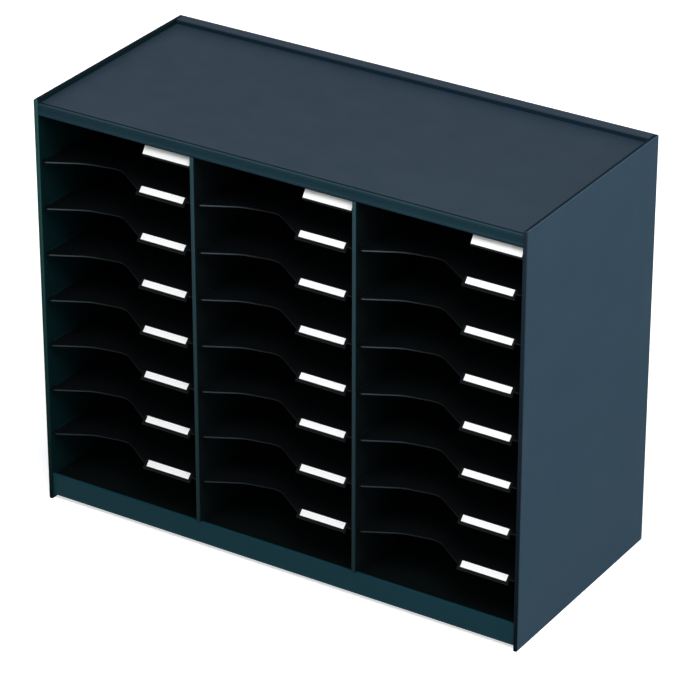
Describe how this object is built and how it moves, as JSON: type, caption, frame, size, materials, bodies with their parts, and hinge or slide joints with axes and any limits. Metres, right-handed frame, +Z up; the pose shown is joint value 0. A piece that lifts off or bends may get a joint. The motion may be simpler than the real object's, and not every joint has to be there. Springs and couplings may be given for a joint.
{
  "type": "document sorting station",
  "caption": "Free-standing pigeonhole sorter for A4 papers, with pull-out shelves that have a wavy finger scoop and a sloped label pocket.",
  "frame": {"origin": "centre of the cabinet's footprint, on the surface it stands on", "axes": "+X to the right along the width, -Y out of the front, +Z up"},
  "size_m": [0.674, 0.308, 0.544],
  "materials": {
    "cabinet": "satin moulded",
    "shelf": "satin moulded",
    "label_card": "uncoated card"
  },
  "bodies": {
    "cabinet": {"left_side_panel": "cabinet", "right_side_panel": "cabinet", "left_divider": "cabinet", "right_divider": "cabinet", "top_panel": "cabinet", "front_top_rail": "cabinet", "base_panel": "cabinet", "plinth": "cabinet", "left_back_panel": "cabinet", "middle_back_panel": "cabinet", "right_back_panel": "cabinet"},
    "left_label_1": {"left_label_1": "label_card"},
    "left_shelf_1": {"left_shelf_1": "shelf"},
    "left_label_2": {"left_label_2": "label_card"},
    "left_shelf_2": {"left_shelf_2": "shelf"},
    "left_label_3": {"left_label_3": "label_card"},
    "left_shelf_3": {"left_shelf_3": "shelf"},
    "left_label_4": {"left_label_4": "label_card"},
    "left_shelf_4": {"left_shelf_4": "shelf"},
    "left_label_5": {"left_label_5": "label_card"},
    "left_shelf_5": {"left_shelf_5": "shelf"},
    "left_label_6": {"left_label_6": "label_card"},
    "left_shelf_6": {"left_shelf_6": "shelf"},
    "left_label_7": {"left_label_7": "label_card"},
    "left_shelf_7": {"left_shelf_7": "shelf"},
    "left_label_8": {"left_label_8": "label_card"},
    "middle_label_1": {"middle_label_1": "label_card"},
    "middle_shelf_1": {"middle_shelf_1": "shelf"},
    "middle_label_2": {"middle_label_2": "label_card"},
    "middle_shelf_2": {"middle_shelf_2": "shelf"},
    "middle_label_3": {"middle_label_3": "label_card"},
    "middle_shelf_3": {"middle_shelf_3": "shelf"},
    "middle_label_4": {"middle_label_4": "label_card"},
    "middle_shelf_4": {"middle_shelf_4": "shelf"},
    "middle_label_5": {"middle_label_5": "label_card"},
    "middle_shelf_5": {"middle_shelf_5": "shelf"},
    "middle_label_6": {"middle_label_6": "label_card"},
    "middle_shelf_6": {"middle_shelf_6": "shelf"},
    "middle_label_7": {"middle_label_7": "label_card"},
    "middle_shelf_7": {"middle_shelf_7": "shelf"},
    "middle_label_8": {"middle_label_8": "label_card"},
    "right_label_1": {"right_label_1": "label_card"},
    "right_shelf_1": {"right_shelf_1": "shelf"},
    "right_label_2": {"right_label_2": "label_card"},
    "right_shelf_2": {"right_shelf_2": "shelf"},
    "right_label_3": {"right_label_3": "label_card"},
    "right_shelf_3": {"right_shelf_3": "shelf"},
    "right_label_4": {"right_label_4": "label_card"},
    "right_shelf_4": {"right_shelf_4": "shelf"},
    "right_label_5": {"right_label_5": "label_card"},
    "right_shelf_5": {"right_shelf_5": "shelf"},
    "right_label_6": {"right_label_6": "label_card"},
    "right_shelf_6": {"right_shelf_6": "shelf"},
    "right_label_7": {"right_label_7": "label_card"},
    "right_shelf_7": {"right_shelf_7": "shelf"},
    "right_label_8": {"right_label_8": "label_card"}
  },
  "joints": [
    {"name": "left_label_1_slide", "type": "slide", "parent": "cabinet", "child": "left_label_1", "axis": [-1, 0, 0], "range_m": [0, 0.068]},
    {"name": "left_shelf_1_slide", "type": "slide", "parent": "cabinet", "child": "left_shelf_1", "axis": [0, -1, 0], "range_m": [0, 0.304]},
    {"name": "left_label_2_slide", "type": "slide", "parent": "left_shelf_1", "child": "left_label_2", "axis": [0, 0.7071, 0.7071], "range_m": [0, 0.012]},
    {"name": "left_shelf_2_slide", "type": "slide", "parent": "cabinet", "child": "left_shelf_2", "axis": [0, -1, 0], "range_m": [0, 0.304]},
    {"name": "left_label_3_slide", "type": "slide", "parent": "left_shelf_2", "child": "left_label_3", "axis": [0, 0.7071, 0.7071], "range_m": [0, 0.012]},
    {"name": "left_shelf_3_slide", "type": "slide", "parent": "cabinet", "child": "left_shelf_3", "axis": [0, -1, 0], "range_m": [0, 0.304]},
    {"name": "left_label_4_slide", "type": "slide", "parent": "left_shelf_3", "child": "left_label_4", "axis": [0, 0.7071, 0.7071], "range_m": [0, 0.012]},
    {"name": "left_shelf_4_slide", "type": "slide", "parent": "cabinet", "child": "left_shelf_4", "axis": [0, -1, 0], "range_m": [0, 0.304]},
    {"name": "left_label_5_slide", "type": "slide", "parent": "left_shelf_4", "child": "left_label_5", "axis": [0, 0.7071, 0.7071], "range_m": [0, 0.012]},
    {"name": "left_shelf_5_slide", "type": "slide", "parent": "cabinet", "child": "left_shelf_5", "axis": [0, -1, 0], "range_m": [0, 0.304]},
    {"name": "left_label_6_slide", "type": "slide", "parent": "left_shelf_5", "child": "left_label_6", "axis": [0, 0.7071, 0.7071], "range_m": [0, 0.012]},
    {"name": "left_shelf_6_slide", "type": "slide", "parent": "cabinet", "child": "left_shelf_6", "axis": [0, -1, 0], "range_m": [0, 0.304]},
    {"name": "left_label_7_slide", "type": "slide", "parent": "left_shelf_6", "child": "left_label_7", "axis": [0, 0.7071, 0.7071], "range_m": [0, 0.012]},
    {"name": "left_shelf_7_slide", "type": "slide", "parent": "cabinet", "child": "left_shelf_7", "axis": [0, -1, 0], "range_m": [0, 0.304]},
    {"name": "left_label_8_slide", "type": "slide", "parent": "left_shelf_7", "child": "left_label_8", "axis": [0, 0.7071, 0.7071], "range_m": [0, 0.012]},
    {"name": "middle_label_1_slide", "type": "slide", "parent": "cabinet", "child": "middle_label_1", "axis": [-1, 0, 0], "range_m": [0, 0.068]},
    {"name": "middle_shelf_1_slide", "type": "slide", "parent": "cabinet", "child": "middle_shelf_1", "axis": [0, -1, 0], "range_m": [0, 0.304]},
    {"name": "middle_label_2_slide", "type": "slide", "parent": "middle_shelf_1", "child": "middle_label_2", "axis": [0, 0.7071, 0.7071], "range_m": [0, 0.012]},
    {"name": "middle_shelf_2_slide", "type": "slide", "parent": "cabinet", "child": "middle_shelf_2", "axis": [0, -1, 0], "range_m": [0, 0.304]},
    {"name": "middle_label_3_slide", "type": "slide", "parent": "middle_shelf_2", "child": "middle_label_3", "axis": [0, 0.7071, 0.7071], "range_m": [0, 0.012]},
    {"name": "middle_shelf_3_slide", "type": "slide", "parent": "cabinet", "child": "middle_shelf_3", "axis": [0, -1, 0], "range_m": [0, 0.304]},
    {"name": "middle_label_4_slide", "type": "slide", "parent": "middle_shelf_3", "child": "middle_label_4", "axis": [0, 0.7071, 0.7071], "range_m": [0, 0.012]},
    {"name": "middle_shelf_4_slide", "type": "slide", "parent": "cabinet", "child": "middle_shelf_4", "axis": [0, -1, 0], "range_m": [0, 0.304]},
    {"name": "middle_label_5_slide", "type": "slide", "parent": "middle_shelf_4", "child": "middle_label_5", "axis": [0, 0.7071, 0.7071], "range_m": [0, 0.012]},
    {"name": "middle_shelf_5_slide", "type": "slide", "parent": "cabinet", "child": "middle_shelf_5", "axis": [0, -1, 0], "range_m": [0, 0.304]},
    {"name": "middle_label_6_slide", "type": "slide", "parent": "middle_shelf_5", "child": "middle_label_6", "axis": [0, 0.7071, 0.7071], "range_m": [0, 0.012]},
    {"name": "middle_shelf_6_slide", "type": "slide", "parent": "cabinet", "child": "middle_shelf_6", "axis": [0, -1, 0], "range_m": [0, 0.304]},
    {"name": "middle_label_7_slide", "type": "slide", "parent": "middle_shelf_6", "child": "middle_label_7", "axis": [0, 0.7071, 0.7071], "range_m": [0, 0.012]},
    {"name": "middle_shelf_7_slide", "type": "slide", "parent": "cabinet", "child": "middle_shelf_7", "axis": [0, -1, 0], "range_m": [0, 0.304]},
    {"name": "middle_label_8_slide", "type": "slide", "parent": "middle_shelf_7", "child": "middle_label_8", "axis": [0, 0.7071, 0.7071], "range_m": [0, 0.012]},
    {"name": "right_label_1_slide", "type": "slide", "parent": "cabinet", "child": "right_label_1", "axis": [-1, 0, 0], "range_m": [0, 0.068]},
    {"name": "right_shelf_1_slide", "type": "slide", "parent": "cabinet", "child": "right_shelf_1", "axis": [0, -1, 0], "range_m": [0, 0.304]},
    {"name": "right_label_2_slide", "type": "slide", "parent": "right_shelf_1", "child": "right_label_2", "axis": [0, 0.7071, 0.7071], "range_m": [0, 0.012]},
    {"name": "right_shelf_2_slide", "type": "slide", "parent": "cabinet", "child": "right_shelf_2", "axis": [0, -1, 0], "range_m": [0, 0.304]},
    {"name": "right_label_3_slide", "type": "slide", "parent": "right_shelf_2", "child": "right_label_3", "axis": [0, 0.7071, 0.7071], "range_m": [0, 0.012]},
    {"name": "right_shelf_3_slide", "type": "slide", "parent": "cabinet", "child": "right_shelf_3", "axis": [0, -1, 0], "range_m": [0, 0.304]},
    {"name": "right_label_4_slide", "type": "slide", "parent": "right_shelf_3", "child": "right_label_4", "axis": [0, 0.7071, 0.7071], "range_m": [0, 0.012]},
    {"name": "right_shelf_4_slide", "type": "slide", "parent": "cabinet", "child": "right_shelf_4", "axis": [0, -1, 0], "range_m": [0, 0.304]},
    {"name": "right_label_5_slide", "type": "slide", "parent": "right_shelf_4", "child": "right_label_5", "axis": [0, 0.7071, 0.7071], "range_m": [0, 0.012]},
    {"name": "right_shelf_5_slide", "type": "slide", "parent": "cabinet", "child": "right_shelf_5", "axis": [0, -1, 0], "range_m": [0, 0.304]},
    {"name": "right_label_6_slide", "type": "slide", "parent": "right_shelf_5", "child": "right_label_6", "axis": [0, 0.7071, 0.7071], "range_m": [0, 0.012]},
    {"name": "right_shelf_6_slide", "type": "slide", "parent": "cabinet", "child": "right_shelf_6", "axis": [0, -1, 0], "range_m": [0, 0.304]},
    {"name": "right_label_7_slide", "type": "slide", "parent": "right_shelf_6", "child": "right_label_7", "axis": [0, 0.7071, 0.7071], "range_m": [0, 0.012]},
    {"name": "right_shelf_7_slide", "type": "slide", "parent": "cabinet", "child": "right_shelf_7", "axis": [0, -1, 0], "range_m": [0, 0.304]},
    {"name": "right_label_8_slide", "type": "slide", "parent": "right_shelf_7", "child": "right_label_8", "axis": [0, 0.7071, 0.7071], "range_m": [0, 0.012]}
  ]
}
